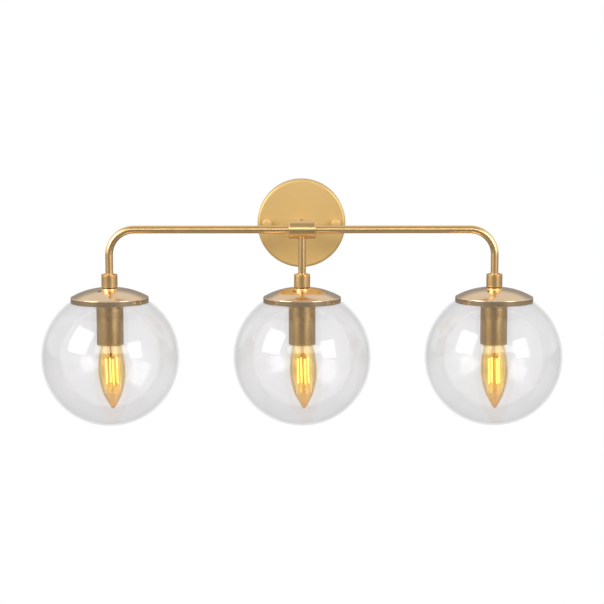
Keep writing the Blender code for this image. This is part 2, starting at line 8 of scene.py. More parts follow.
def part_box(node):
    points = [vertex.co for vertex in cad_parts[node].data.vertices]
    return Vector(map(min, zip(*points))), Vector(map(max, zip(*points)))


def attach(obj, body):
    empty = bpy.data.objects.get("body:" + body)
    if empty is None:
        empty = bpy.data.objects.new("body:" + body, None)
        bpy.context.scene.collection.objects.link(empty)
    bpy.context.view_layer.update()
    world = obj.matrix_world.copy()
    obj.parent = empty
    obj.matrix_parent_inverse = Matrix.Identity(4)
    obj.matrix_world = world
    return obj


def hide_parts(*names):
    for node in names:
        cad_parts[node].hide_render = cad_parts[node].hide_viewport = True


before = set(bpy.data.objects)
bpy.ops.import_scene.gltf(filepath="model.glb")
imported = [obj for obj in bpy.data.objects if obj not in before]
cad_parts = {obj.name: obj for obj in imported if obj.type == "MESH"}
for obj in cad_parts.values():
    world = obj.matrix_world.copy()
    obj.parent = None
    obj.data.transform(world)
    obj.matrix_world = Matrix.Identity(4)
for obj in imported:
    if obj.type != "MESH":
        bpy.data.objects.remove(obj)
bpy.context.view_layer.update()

# Looks of the vanity light bar: fine turned and swept brass, threaded glass globes, candle bulbs.
# Metres, +Z up, wall at y = 0. Heights in a light's sections are measured from the bar's axis.

MM = 0.001
TURN = 2 * math.pi
WALL = Matrix.Rotation(math.pi / 2, 4, "X")  # local +Z leaves the wall, local +Y is up
LIGHTS = ("left", "center", "right")
SIDES = {"left": -1, "right": 1}

# Sizes that a node's box doesn't give
TUBE_BORE = 3.2 * MM
SOCKET_BORE = 4.5 * MM
BEND_RADIUS = 27.5 * MM
NIPPLE_HOLE = 5.3 * MM
STUD_HOLE = 2.3 * MM
SHEET = 1.2 * MM
THIN = 1.0 * MM
GLASS = 2.0 * MM
BULB_GLASS = 0.9 * MM
BULB_LEAN = math.radians(1.5)
BULB_PIVOT = -105 * MM
GLOBE_PITCH = 3.5 * MM
BASE_PITCH = 2.54 * MM
STUD_PITCH = 0.7 * MM
ARM_PITCH = 1.0 * MM
CAP_APEX = -63 * MM
CAP_CURVE = (60 * MM, 37.5 * MM)  # half axes of the ellipse that the dome follows
VENT_ANGLES = (-114, 6, 126)
VENT_CIRCLE = 21 * MM
VENT_RADIUS = 2 * MM
NECK_RADIUS = 40.5 * MM
SHOULDER = -80.1 * MM
STICK_CIRCLE = 6.1 * MM
STICK_TOP = -141.6 * MM
STICK_BOTTOM = -169.8 * MM
STICK_RADIUS = 0.8 * MM
HOLDING_WIRE = 0.22 * MM
FEED_WIRE = 0.25 * MM
BULB_PROFILE = (
    (6.8, -113.6),
    (9.6, -119.5),
    (12.3, -126),
    (15.1, -138),
    (16.5, -155),
    (15.1, -168),
    (11.3, -181),
    (7.3, -188.5),
    (4.0, -193.8),
    (1.7, -196.7),
    (0, -197.6),
)  # radius and height in millimetres
FLOOR_HEIGHT = -1.9
CAMERA_AHEAD = 1.85


def center_of(node):
    low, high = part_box(node)
    return (low + high) / 2


def span(node):
    """(radius, lowest z, highest z) of a node that is turned about a vertical axis."""
    low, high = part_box(node)
    return (high.x - low.x) / 2, low.z, high.z


BAR = center_of("hub")
AXES = {side: center_of(f"socket_cup_{side}") for side in LIGHTS}


# Mesh building


def rounded(points, steps=5):
    """A closed section. A point's third value rounds that corner to a radius."""
    result = []
    for i, point in enumerate(points):
        corner = Vector(point[:2])
        if len(point) == 2:
            result.append(tuple(corner))
            continue
        to_last = (Vector(points[i - 1][:2]) - corner).normalized()
        to_next = (Vector(points[(i + 1) % len(points)][:2]) - corner).normalized()
        half = to_last.angle(to_next) / 2
        middle = corner + (to_last + to_next).normalized() * point[2] / math.sin(half)
        first = corner + to_last * point[2] / math.tan(half) - middle
        last = corner + to_next * point[2] / math.tan(half) - middle
        sweep = first.angle_signed(last)
        for k in range(steps + 1):
            turned_by = Matrix.Rotation(-sweep * k / steps, 2)
            result.append(tuple(middle + turned_by @ first))
    return result


def arc(center, radius, start, end, steps):
    angles = [math.radians(start + (end - start) * i / steps) for i in range(steps + 1)]
    return [(center[0] + radius * math.cos(a), center[1] + radius * math.sin(a)) for a in angles]


def line(radius, start, end, step):
    """Closely spaced points along a thread."""
    count = max(2, round(abs(end - start) / step))
    return [(radius, start + (end - start) * i / count) for i in range(count + 1)]


def smooth_line(points, per_span=6):
    """A Catmull-Rom line through these points."""
    ends = [Vector(point) for point in (points[0], *points, points[-1])]
    result = []
    for a, b, c, d in zip(ends, ends[1:], ends[2:], ends[3:]):
        for k in range(per_span):
            t = k / per_span
            bend = (2 * a - 5 * b + 4 * c - d) * t**2
            twist = (3 * b - a - 3 * c + d) * t**3
            curve = 2 * b + (c - a) * t + bend + twist
            result.append(tuple(curve / 2))
    return result + [points[-1]]


def ridge(height, angle, pitch, depth):
    """How far a right-hand thread stands out at this height and angle."""
    phase = (height / pitch - angle / TURN) % 1
    return depth * (0.5 + 0.5 * math.cos(TURN * phase))


def add_turned(bm, section, segments, matrix=Matrix.Identity(4), thread=None):
    """Turns a section about +Z. thread is (radius, low, high, pitch, depth).

    It moves the points at that radius between those heights. With no radius it moves them all.
    """
    rings = []
    for radius, height in section:
        if radius == 0:
            rings.append([bm.verts.new(matrix @ Vector((0, 0, height)))])
            continue
        threaded = thread and thread[1] < height < thread[2]
        if threaded and thread[0] is not None:
            threaded = abs(radius - thread[0]) < 1e-6
        ring = []
        for i in range(segments):
            angle = TURN * i / segments
            r = radius
            if threaded:
                r += ridge(height, angle, thread[3], thread[4])
            point = Vector((r * math.cos(angle), r * math.sin(angle), height))
            ring.append(bm.verts.new(matrix @ point))
        rings.append(ring)
    pairs = list(zip(rings, rings[1:]))
    if section[0][0] or section[-1][0]:
        pairs.append((rings[-1], rings[0]))
    for near, far in pairs:
        for i in range(segments):
            j = (i + 1) % segments
            corners = [near[i % len(near)], near[j % len(near)]]
            corners += [far[j % len(far)], far[i % len(far)]]
            bm.faces.new(dict.fromkeys(corners))


def finish(name, bm, material, body, node=None, matrix=Matrix.Identity(4), sharp=40):
    """The mesh as a piece that rides on a body and stands for a CAD node."""
    bmesh.ops.recalc_face_normals(bm, faces=bm.faces)
    mesh = bpy.data.meshes.new(name)
    bm.to_mesh(mesh)
    bm.free()
    mesh.shade_smooth()
    mesh.set_sharp_from_angle(angle=math.radians(sharp))
    mesh.materials.append(material)
    piece = bpy.data.objects.new(name, mesh)
    piece.matrix_world = matrix
    bpy.context.scene.collection.objects.link(piece)
    normals = piece.modifiers.new("Normals", "WEIGHTED_NORMAL")
    normals.keep_sharp = True
    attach(piece, body)
    if node:
        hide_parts(node)
    return piece


def turned(name, section, segments, material, body, node, matrix, thread=None, sharp=40):
    bm = bmesh.new()
    add_turned(bm, section, segments, thread=thread)
    return finish(name, bm, material, body, node, matrix, sharp)


def bore(piece, cutters):
    """Cuts turned shapes, given as (section, matrix) in the piece's own space, out of a piece."""
    bpy.context.view_layer.update()
    piece.modifiers.clear()
    tools = []
    for section, matrix in cutters:
        bm = bmesh.new()
        add_turned(bm, section, 40, matrix)
        bmesh.ops.recalc_face_normals(bm, faces=bm.faces)
        mesh = bpy.data.meshes.new("cutter")
        bm.to_mesh(mesh)
        bm.free()
        cutter = bpy.data.objects.new("cutter", mesh)
        cutter.matrix_world = piece.matrix_world
        bpy.context.scene.collection.objects.link(cutter)
        piece.modifiers.new("Bore", "BOOLEAN").object = cutter
        tools.append(cutter)
    bpy.context.view_layer.update()
    graph = bpy.context.evaluated_depsgraph_get()
    piece.data = bpy.data.meshes.new_from_object(piece.evaluated_get(graph))
    piece.data.set_sharp_from_angle(angle=math.radians(40))
    piece.modifiers.clear()
    for cutter in tools:
        bpy.data.objects.remove(cutter)
    piece.modifiers.new("Normals", "WEIGHTED_NORMAL").keep_sharp = True


def rod(radius, low, high):
    return [(0, low), (radius, low), (radius, high), (0, high)]


def pipe(bore_radius, radius, low, high, edge=0.15 * MM):
    corners = [(bore_radius, low), (radius, low, edge), (radius, high, edge), (bore_radius, high)]
    return rounded(corners, 3)


# Materials


def node_of(tree, kind, settings=None, **inputs):
    """A node with its settings and input values. A value that is a socket is linked."""
    node = tree.nodes.new(kind)
    for key, value in (settings or {}).items():
        setattr(node, key, value)
    for key, value in inputs.items():
        socket = node.inputs[int(key[1:])] if key[0] == "i" and key[1:].isdigit() else node.inputs[key]
        if isinstance(value, bpy.types.NodeSocket):
            tree.links.new(value, socket)
        else:
            socket.default_value = value
    return node


def math_node(tree, operation, a, b=0.0):
    return node_of(tree, "ShaderNodeMath", {"operation": operation}, i0=a, i1=b).outputs[0]


def blank(name):
    material = bpy.data.materials.new(name)
    material.use_nodes = True
    return material, material.node_tree, material.node_tree.nodes["Principled BSDF"]


def ramp(tree, factor, low, high):
    """factor from 0 to 1 made a colour from low to high."""
    mix = node_of(tree, "ShaderNodeMix", {"data_type": "RGBA"}, i0=factor)
    mix.inputs[6].default_value = (*low, 1)
    mix.inputs[7].default_value = (*high, 1)
    return mix.outputs[2]


def spread(tree, factor, low, high, over=(0.25, 0.75)):
    """low where factor is at the start of over, and high at its end."""
    ends = {"i1": over[0], "i2": over[1], "i3": low, "i4": high}
    return node_of(tree, "ShaderNodeMapRange", i0=factor, **ends).outputs[0]


def metal(name, dark, light, roughness, grain=1500.0, bump=0.02, cloud=28.0, metallic=1.0):
    """Metal with an even satin grain, and a slow cloudiness in its colour and polish."""
    material, tree, shader = blank(name)
    point = node_of(tree, "ShaderNodeTexCoord").outputs["Object"]
    fine = node_of(tree, "ShaderNodeTexNoise", Vector=point, Scale=grain, Detail=2.0).outputs[0]
    slow = node_of(tree, "ShaderNodeTexNoise", Vector=point, Scale=cloud, Detail=4.0).outputs[0]
    some_fine = math_node(tree, "MULTIPLY", fine, 0.3)
    both = math_node(tree, "ADD", some_fine, math_node(tree, "MULTIPLY", slow, 0.7))
    tree.links.new(ramp(tree, spread(tree, both, 0.0, 1.0), dark, light), shader.inputs["Base Color"])
    tree.links.new(spread(tree, both, roughness[0], roughness[1]), shader.inputs["Roughness"])
    shader.inputs["Metallic"].default_value = metallic
    relief = node_of(tree, "ShaderNodeBump", Strength=bump, Distance=0.05 * MM, Height=fine)
    tree.links.new(relief.outputs[0], shader.inputs["Normal"])
    return material


def plastic(name, dark, light, roughness, scale=600.0, bump=0.08):
    material, tree, shader = blank(name)
    point = node_of(tree, "ShaderNodeTexCoord").outputs["Object"]
    noise = node_of(tree, "ShaderNodeTexNoise", Vector=point, Scale=scale, Detail=3.0).outputs[0]
    tree.links.new(ramp(tree, spread(tree, noise, 0.0, 1.0), dark, light), shader.inputs["Base Color"])
    tree.links.new(spread(tree, noise, roughness - 0.05, roughness + 0.05), shader.inputs["Roughness"])
    relief = node_of(tree, "ShaderNodeBump", Strength=bump, Distance=0.1 * MM, Height=noise)
    tree.links.new(relief.outputs[0], shader.inputs["Normal"])
    return material


def glass(name, middle, rim, index, roughness=0.0, scale=14.0):
    """Glass that bends light where it faces the eye, and thins to a plain tint round its outline."""
    material, tree, shader = blank(name)
    point = node_of(tree, "ShaderNodeTexCoord").outputs["Object"]
    noise = node_of(tree, "ShaderNodeTexNoise", Vector=point, Scale=scale, Detail=2.0).outputs[0]
    facing = node_of(tree, "ShaderNodeLayerWeight", Blend=0.5).outputs["Facing"]
    wave = math_node(tree, "MULTIPLY", math_node(tree, "SUBTRACT", noise, 0.5), 0.06)
    factor = math_node(tree, "ADD", facing, wave)
    tree.links.new(ramp(tree, factor, middle, rim), shader.inputs["Base Color"])
    shader.inputs["Roughness"].default_value = roughness
    shader.inputs["Transmission Weight"].default_value = 1.0
    shader.inputs["IOR"].default_value = index
    clear = node_of(tree, "ShaderNodeBsdfTransparent")
    clear.inputs[0].default_value = (*rim, 1)
    edge = spread(tree, facing, 0.0, 1.0, (0.32, 0.58))
    mix = node_of(tree, "ShaderNodeMixShader", i0=edge, i1=shader.outputs[0], i2=clear.outputs[0])
    tree.links.new(mix.outputs[0], tree.nodes["Material Output"].inputs["Surface"])
    return material


def thin_glass(name, tint):
    """A blown wall too thin to bend what is behind it: a plain tint, a mirror film and a trace of body."""
    material, tree, shader = blank(name)
    point = node_of(tree, "ShaderNodeTexCoord").outputs["Object"]
    noise = node_of(tree, "ShaderNodeTexNoise", Vector=point, Scale=14.0, Detail=2.0).outputs[0]
    facing = node_of(tree, "ShaderNodeLayerWeight", Blend=0.5).outputs["Facing"]
    shader.inputs["Base Color"].default_value = (*tint, 1)
    shader.inputs["Roughness"].default_value = 0.0
    shader.inputs["Transmission Weight"].default_value = 1.0
    shader.inputs["IOR"].default_value = 1.36
    clear = node_of(tree, "ShaderNodeBsdfTransparent")
    softer = [channel * 0.99 for channel in tint]
    tree.links.new(ramp(tree, noise, softer, tint), clear.inputs[0])
    mirror = node_of(tree, "ShaderNodeBsdfGlossy", Color=(1, 1, 1, 1), Roughness=0.0)
    film = spread(tree, facing, 0.024, 0.05, (0.3, 0.95))
    wall = node_of(tree, "ShaderNodeMixShader", i0=film, i1=clear.outputs[0], i2=mirror.outputs[0])
    mix = node_of(tree, "ShaderNodeMixShader", i0=0.1, i1=wall.outputs[0], i2=shader.outputs[0])
    tree.links.new(mix.outputs[0], tree.nodes["Material Output"].inputs["Surface"])
    return material


def tip_tint(material, top, bottom, color):
    """Deepens a glass's middle colour from top down to bottom, so it is darkest at the bottom."""
    tree = material.node_tree
    point = node_of(tree, "ShaderNodeTexCoord").outputs["Object"]
    height = node_of(tree, "ShaderNodeSeparateXYZ", i0=point).outputs[2]
    fall = spread(tree, height, 0.0, 1.0, (top, bottom))
    blend = next(node for node in tree.nodes if node.bl_idname == "ShaderNodeMix")
    tree.links.new(ramp(tree, fall, blend.inputs[6].default_value[:3], color), blend.inputs[6])


def glowing(name, dark, light, strength):
    """The phosphor strips: matte, and a little brighter than the light that falls on them."""
    material = plastic(name, dark, light, 0.5, 2500.0)
    shader = material.node_tree.nodes["Principled BSDF"]
    shader.inputs["Emission Color"].default_value = (*light, 1)
    shader.inputs["Emission Strength"].default_value = strength
    return material


BRASS = metal("turned_brass", (0.88, 0.57, 0.25), (0.94, 0.63, 0.29), (0.26, 0.30))
PLATE = metal(
    "wall_brass",
    (0.68, 0.45, 0.166),
    (0.735, 0.494, 0.19),
    (0.40, 0.46),
    cloud=14.0,
    metallic=0.4,
)
CAP = metal("dome_brass", (0.88, 0.65, 0.42), (0.92, 0.69, 0.45), (0.16, 0.20))
STEEL = metal("plated_steel", (0.42, 0.43, 0.45), (0.60, 0.61, 0.63), (0.30, 0.45))
CONTACT = metal("bright_contact", (0.66, 0.50, 0.26), (0.82, 0.68, 0.40), (0.22, 0.32))
WIRE = metal("support_wire", (0.36, 0.12, 0.05), (0.50, 0.19, 0.08), (0.30, 0.40))
CLEAR = thin_glass("blown_glass", (0.964, 0.961, 0.963))
AMBER = glass("tinted_glass", (1.0, 0.79, 0.38), (1.0, 0.965, 0.90), 1.45, scale=60.0)
tip_tint(AMBER, -165 * MM, -197 * MM, (0.97, 0.62, 0.26))
STEM_GLASS = glass("pinched_glass", (1.0, 0.80, 0.48), (1.0, 0.95, 0.85), 1.45, 0.02, 90.0)
FILAMENT = glowing("phosphor", (1.0, 0.85, 0.28), (1.0, 0.93, 0.42), 2.2)
PHENOLIC = plastic("moulded_phenolic", (0.02, 0.017, 0.014), (0.045, 0.038, 0.03), 0.45)
RUBBER = plastic("silicone", (0.70, 0.70, 0.68), (0.85, 0.85, 0.82), 0.55, 300.0)
SLEEVE = plastic("lead_insulation", (0.66, 0.65, 0.60), (0.80, 0.79, 0.75), 0.5, 400.0)
GREEN = plastic("green_finish", (0.03, 0.20, 0.06), (0.06, 0.32, 0.11), 0.4, 400.0)


# Wall group


def stud_spots():
    return {side: center_of(f"stud_{side}").x for side in SIDES}


def make_canopy():
    low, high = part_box("canopy")
    radius = (high.x - low.x) / 2
    depth = -low.y
    floor = depth - SHEET
    inside = radius - SHEET
    outer = [(inside, 0), (radius, 0, 0.3 * MM), (radius, depth, 3 * MM)]
    outer += [(SOCKET_BORE, depth, 0.2 * MM)]
    section = rounded(outer + [(SOCKET_BORE, floor), (inside, floor, 1.8 * MM)], 8)
    canopy = turned("canopy_shell", section, 128, PLATE, "root", "canopy", WALL)
    hole = rod(STUD_HOLE, floor - MM, depth + MM)
    bore(canopy, [(hole, Matrix.Translation((x, 0, 0))) for x in stud_spots().values()])


def make_cap_nuts():
    for side, x in stud_spots().items():
        low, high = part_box(f"cap_nut_{side}")
        radius = (high.x - low.x) / 2
        base, tip = -high.y, -low.y
        shoulder = tip - 0.9 * MM
        roof = base + 5.7 * MM
        ledge = 0.8 * radius
        section = [(0, roof), (STUD_HOLE, roof), (STUD_HOLE, base), (radius, base, 0.4 * MM)]
        section += [(radius, shoulder, 0.5 * MM), (ledge, shoulder + 0.1 * MM)]
        section += [
            (ledge * math.cos(a), shoulder + 0.3 * MM + (tip - shoulder - 0.3 * MM) * math.sin(a))
            for a in (math.pi / 2 * k / 14 for k in range(14))
        ]
        section = rounded(section + [(0, tip)])
        place_at = Matrix.Translation((x, 0, 0)) @ WALL
        turned(f"dome_nut_{side}", section, 48, PLATE, "root", f"cap_nut_{side}", place_at)


def make_studs():
    """Studs with a rolled thread from the head to the tip."""
    for side, x in stud_spots().items():
        low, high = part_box(f"stud_{side}")
        back, tip = -high.y, -low.y
        radius = 2 * MM
        neck = back + 2 * MM
        root = radius - 0.25 * MM
        head = 3.7 * MM
        section = rounded([(0, back), (head, back, 0.3 * MM), (head, neck, 0.3 * MM), (root, neck)])
        section += line(root, neck + 0.2 * MM, tip - 0.4 * MM, 0.09 * MM)
        section += [(root - 0.3 * MM, tip), (0, tip)]
        thread = (root, neck, tip, STUD_PITCH, radius - root)
        place_at = Matrix.Translation((x, 0, 0)) @ WALL
        turned(f"threaded_stud_{side}", section, 32, STEEL, "root", f"stud_{side}", place_at, thread)


def make_wall_arm():
    low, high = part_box("wall_arm")
    radius = (high.x - low.x) / 2
    back, front = -high.y, -low.y
    threaded_to = back + 11 * MM
    root = radius - 0.3 * MM
    section = [(TUBE_BORE, back), (root, back)]
    section += line(root, back + 0.1 * MM, threaded_to, 0.12 * MM)
    section += [(radius, threaded_to + 0.3 * MM), (radius, front), (TUBE_BORE, front)]
    thread = (root, back, threaded_to, ARM_PITCH, radius - root)
    turned("wall_arm_tube", section, 48, BRASS, "root", "wall_arm", WALL, thread)
    low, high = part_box("wall_arm_ring")
    radius = (high.x - low.x) / 2
    back, front = -high.y, -low.y
    recess = 5 * MM
    section = [(SOCKET_BORE, back), (radius, back, 0.2 * MM), (radius, front, 0.5 * MM), (recess, front)]
    section = rounded(section + [(recess, front - 1.5 * MM), (SOCKET_BORE, front - 1.5 * MM)])
    turned("arm_ring", section, 64, PLATE, "root", "wall_arm_ring", WALL)


def softened(node, width, material, segments=2):
    """A node's own shape with its edges rounded, for nuts, blocks and sheet."""
    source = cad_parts[node]
    bm = bmesh.new()
    bm.from_mesh(source.data)
    bmesh.ops.remove_doubles(bm, verts=bm.verts, dist=1e-6)
    bmesh.ops.dissolve_limit(bm, angle_limit=math.radians(2), verts=bm.verts, edges=bm.edges)
    piece = finish(f"{node}_finished", bm, material, "root", node, sharp=30)
    bevel = piece.modifiers.new("Edges", "BEVEL")
    bevel.width = width
    bevel.segments = segments
    bevel.limit_method = "ANGLE"
    bevel.angle_limit = math.radians(50)
    bevel.harden_normals = True
    piece.modifiers.move(1, 0)
    return piece


# Bar group


def make_hub():
    low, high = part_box("hub")
    half = (high.x - low.x) / 2
    radius = (high.z - low.z) / 2
    chamfer = 0.8 * MM
    rim = radius - chamfer
    soft = 0.15 * MM
    section = rounded(
        [
            (SOCKET_BORE, -half),
            (rim, -half, soft),
            (radius, -half + chamfer, soft),
            (radius, half - chamfer, soft),
            (rim, half, soft),
            (SOCKET_BORE, half),
        ],
        3,
    )
    place_at = Matrix.Translation(BAR) @ Matrix.Rotation(math.pi / 2, 4, "Y")
    hub = turned("hub_barrel", section, 96, BRASS, "root", "hub", place_at)
    down = rod(SOCKET_BORE, 0, radius + MM)
    backwards = Matrix.Rotation(-math.pi / 2, 4, "X")
    bore(hub, [(down, backwards), (down, Matrix.Rotation(math.pi / 2, 4, "Y"))])


def make_bar_tubes():
    """Hollow tubes swept along the bar and down to their lights."""
    sides = 40
    bends = 28
    end = -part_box("bar_tube_right")[0].z
    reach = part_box("bar_tube_right")[1].x
    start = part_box("bar_tube_right")[0].x
    radius = (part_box("bar_tube_right")[1].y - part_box("bar_tube_right")[0].y) / 2
    spacing = reach - radius
    stations = [Matrix.Translation((start, 0, 0)), Matrix.Translation((spacing - BEND_RADIUS - MM, 0, 0))]
    for step in range(bends + 1):
        angle = math.pi / 2 * step / bends
        x = spacing - BEND_RADIUS + BEND_RADIUS * math.sin(angle)
        z = BEND_RADIUS * (math.cos(angle) - 1)
        stations.append(Matrix.Translation((x, 0, z)) @ Matrix.Rotation(angle, 4, "Y"))
    down = Matrix.Rotation(math.pi / 2, 4, "Y")
    stations.append(Matrix.Translation((spacing, 0, -BEND_RADIUS - MM)) @ down)
    stations.append(Matrix.Translation((spacing, 0, -end)) @ down)
    passes = [(s, radius) for s in stations] + [(s, TUBE_BORE) for s in reversed(stations)]
    for side, sign in SIDES.items():
        bm = bmesh.new()
        rings = []
        for station, r in passes:
            angles = [TURN * i / sides for i in range(sides)]
            ring = [station @ Vector((0, r * math.cos(a), r * math.sin(a))) for a in angles]
            rings.append([bm.verts.new((sign * p.x, p.y, p.z)) for p in ring])
        for near, far in zip(rings, rings[1:] + rings[:1]):
            for i in range(sides):
                j = (i + 1) % sides
                bm.faces.new((near[i], near[j], far[j], far[i]))
        place_at = Matrix.Translation(BAR)
        finish(f"bent_tube_{side}", bm, BRASS, "root", f"bar_tube_{side}", place_at)


def make_center_stem():
    radius, low, high = span("center_stem")
    place_at = Matrix.Translation(BAR)
    turned("stem_tube", pipe(TUBE_BORE, radius, low, high), 48, BRASS, "root", "center_stem", place_at)


# One light


def dome_height(radius):
    """The height of the cap's outside at a radius."""
    return CAP_APEX - CAP_CURVE[1] * (1 - math.sqrt(1 - (radius / CAP_CURVE[0]) ** 2))


def collar_section():
    radius, bottom, top = span("collar_center")
    recess = 6 * MM
    floor = top - 3 * MM
    groove = top - 1.7 * MM
    step = -55.8 * MM
    section = [(recess, top), (radius, top, 0.35 * MM), (radius, groove + 0.25 * MM)]
    section += [(radius - 0.22 * MM, groove), (radius, groove - 0.25 * MM)]
    section += [(radius, bottom, 0.35 * MM), (NIPPLE_HOLE, bottom), (NIPPLE_HOLE, step)]
    section += [(SOCKET_BORE, step), (SOCKET_BORE, floor)]
    return rounded(section + [(recess, floor)], 4)


def cap_section():
    radius, bottom, _ = span("glass_cap_center")
    corner = 0.9 * MM
    rim = radius - corner
    radii = [NIPPLE_HOLE + (rim - NIPPLE_HOLE) * i / 40 for i in range(41)]
    outer = [(r, dome_height(r)) for r in radii]
    edge = outer[-1][1]
    outer += arc((rim, edge - corner), corner, 60, 0, 5)
    outer += [(radius, edge - corner - 0.5 * MM), (radius, bottom + 0.9 * MM)]
    outer += arc((radius - 0.4 * MM, bottom + 0.4 * MM), 0.4 * MM, 0, -90, 4)
    inside = radius - THIN
    roof = dome_height(rim) - 1.3 * MM
    inner = [(inside, bottom)] + line(inside, bottom + 0.2 * MM, roof - 0.1 * MM, 0.25 * MM)
    inner += [(inside, roof)]
    inner += [(r, dome_height(r) - 1.15 * MM) for r in reversed(radii[:-1])]
    return outer + inner, (inside, bottom, roof, GLOBE_PITCH, -0.25 * MM)


def globe_section():
    """Blown glass with a soft shoulder, a threaded neck and a ground top edge."""
    radius, bottom, top = span("globe_center")
    middle = (0, bottom + radius)
    section = [(0, bottom)] + arc(middle, radius, -90, 53.2, 96)[1:]
    section += [(43.4 * MM, SHOULDER + 0.1 * MM)]
    section += arc((NECK_RADIUS + 0.6 * MM, SHOULDER + 0.6 * MM), 0.6 * MM, 270, 180, 4)
    section += line(NECK_RADIUS, SHOULDER + 0.8 * MM, top - 0.5 * MM, 0.2 * MM)[1:]
    section += arc((NECK_RADIUS - 0.4 * MM, top - 0.4 * MM), 0.4 * MM, 0, 90, 3)
    inner = NECK_RADIUS - GLASS
    section += [(inner, top), (inner, SHOULDER - 0.7 * MM)]
    section += [(inner + 0.6 * MM, SHOULDER - 1.3 * MM), (43 * MM, SHOULDER - 1.5 * MM)]
    section += arc(middle, radius - GLASS, 53.3, -90, 96)[:-1] + [(0, bottom + GLASS)]
    return section, (NECK_RADIUS, SHOULDER, top, GLOBE_PITCH, 0.45 * MM)


def cup_section():
    radius, bottom, top = span("socket_cup_center")
    inside = radius - THIN
    section = [(NIPPLE_HOLE, top), (radius, top, 0.8 * MM), (radius, bottom, 0.5 * MM), (inside, bottom)]
    return rounded(section + [(inside, top - THIN), (NIPPLE_HOLE, top - THIN)])


def holder_section():
    radius, bottom, top = span("lampholder_center")
    lead_hole = 3.2 * MM
    cavity = 7.3 * MM
    floor = -91 * MM
    thread_floor = top - 11.5 * MM
    neck = 9 * MM
    section = [(NIPPLE_HOLE, top), (neck, top, 0.5 * MM), (neck, top - 7 * MM)]
    section += [(radius, top - 9 * MM, 0.5 * MM), (radius, bottom, 0.4 * MM)]
    section += [(cavity, bottom), (cavity, floor), (lead_hole, floor)]
    return rounded(section + [(lead_hole, thread_floor), (NIPPLE_HOLE, thread_floor)])


def shell_section():
    """A rolled shell: the same wave on its inside and its outside."""
    radius, bottom, top = span("screw_shell_center")
    inside = radius - 0.5 * MM
    outside = inside + 0.3 * MM
    low, high = bottom + 0.6 * MM, top - 0.6 * MM
    section = [(inside, bottom), (outside, bottom)] + line(outside, low, high, 0.18 * MM)
    section += [(outside, top), (inside, top)] + line(inside, high, low, 0.18 * MM)
    return section, (None, bottom + 0.3 * MM, top - 0.3 * MM, BASE_PITCH, 0.2 * MM)


def base_section():
    """A rolled E12 base with a rim below and a cone towards its tip contact."""
    low = -113.3 * MM
    end = -96.2 * MM
    flange = 6.7 * MM
    root = 5.55 * MM
    inside = 5.2 * MM
    section = [(0, end - 3.5 * MM), (inside, end - 3.5 * MM), (inside, low)]
    rim = [(inside, low), (flange, low, 0.15 * MM), (flange, low + 0.5 * MM, 0.15 * MM)]
    rim += [(root, low + 0.8 * MM)]
    section += rounded(rim)[1:] + line(root, low + 1.2 * MM, end - 3 * MM, 0.18 * MM)
    section += [(root - 0.2 * MM, end - 2.6 * MM), (3.1 * MM, end), (0, end)]
    return section, (root, low + MM, end - 2.9 * MM, BASE_PITCH, 0.4 * MM)


def bulb_section():
    """A candle bulb's wall: its outline and, at a wall's thickness inside it, the same line back."""
    outer = smooth_line([(radius * MM, height * MM) for radius, height in BULB_PROFILE])
    inner = []
    for i, (radius, height) in enumerate(outer[:-1]):
        ahead = outer[i + 1]
        behind = outer[max(i - 1, 0)]
        along = Vector((ahead[0] - behind[0], ahead[1] - behind[1])).normalized()
        inner.append((radius + along.y * BULB_GLASS, height - along.x * BULB_GLASS))
    inner = [(r, z) for r, z in inner if r > 0.2 * MM] + [(0, outer[-1][1] + 1.1 * MM)]
    return list(reversed(outer)) + inner


def add_capsule(bm, start, end, radius, segments=16):
    """A round-ended rod between two points."""
    along = Vector(end) - Vector(start)
    turn = Matrix.Translation(start) @ along.to_track_quat("Z", "Y").to_matrix().to_4x4()
    ends = [(0, 0), (radius, 0, 0.7 * radius), (radius, along.length, 0.7 * radius), (0, along.length)]
    add_turned(bm, rounded(ends, 4), segments, turn)


def stick_spots():
    turns = [math.radians(20 + 90 * quarter) for quarter in range(4)]
    return [Vector((math.cos(t), math.sin(t), 0)) * STICK_CIRCLE for t in turns]


def add_filament(side, matrix):
    """A pinched glass stem, four phosphor sticks and the wires that hold them."""
    body = f"bulb_{side}"
    stem = [(0, -114.6), (4.3, -114.6), (4.0, -116), (2.6, -119), (2.1, -122), (1.9, -130)]
    stem += [(1.7, -137), (1.7, -139.5), (2.1, -140.6), (1.6, -141.8), (1.0, -143), (0.9, -165)]
    stem += [(1.3, -167), (1.0, -170.5), (0, -171.2)]
    bm = bmesh.new()
    add_turned(bm, [(radius * MM, height * MM) for radius, height in stem], 32)
    finish(f"bulb_stem_{side}", bm, STEM_GLASS, body, f"bulb_filament_{side}", matrix)
    bm = bmesh.new()
    for spot in stick_spots():
        top = spot + Vector((0, 0, STICK_TOP))
        add_capsule(bm, top, spot + Vector((0, 0, STICK_BOTTOM)), STICK_RADIUS)
    finish(f"phosphor_sticks_{side}", bm, FILAMENT, body, None, matrix)
    bm = bmesh.new()
    for i, spot in enumerate(stick_spots()):
        inward = spot.normalized()
        for end, hub in ((-141.2, -139.6), (-170.2, -168.6)):
            stick_end = spot + Vector((0, 0, end * MM))
            bend = spot * 0.96 + Vector((0, 0, (end * 0.75 + hub * 0.25) * MM))
            root = inward * MM + Vector((0, 0, hub * MM))
            add_capsule(bm, stick_end, bend, HOLDING_WIRE, 8)
            add_capsule(bm, bend, root, HOLDING_WIRE, 8)
        if i % 2:
            low = inward * 1.6 * MM + Vector((0, 0, -139.6 * MM))
            top = inward * 1.5 * MM + Vector((0, 0, -124 * MM))
            add_capsule(bm, low, top, FEED_WIRE, 8)
            add_capsule(bm, top, inward * 3.4 * MM + Vector((0, 0, -112.9 * MM)), FEED_WIRE, 8)
    finish(f"support_wires_{side}", bm, WIRE, body, None, matrix)


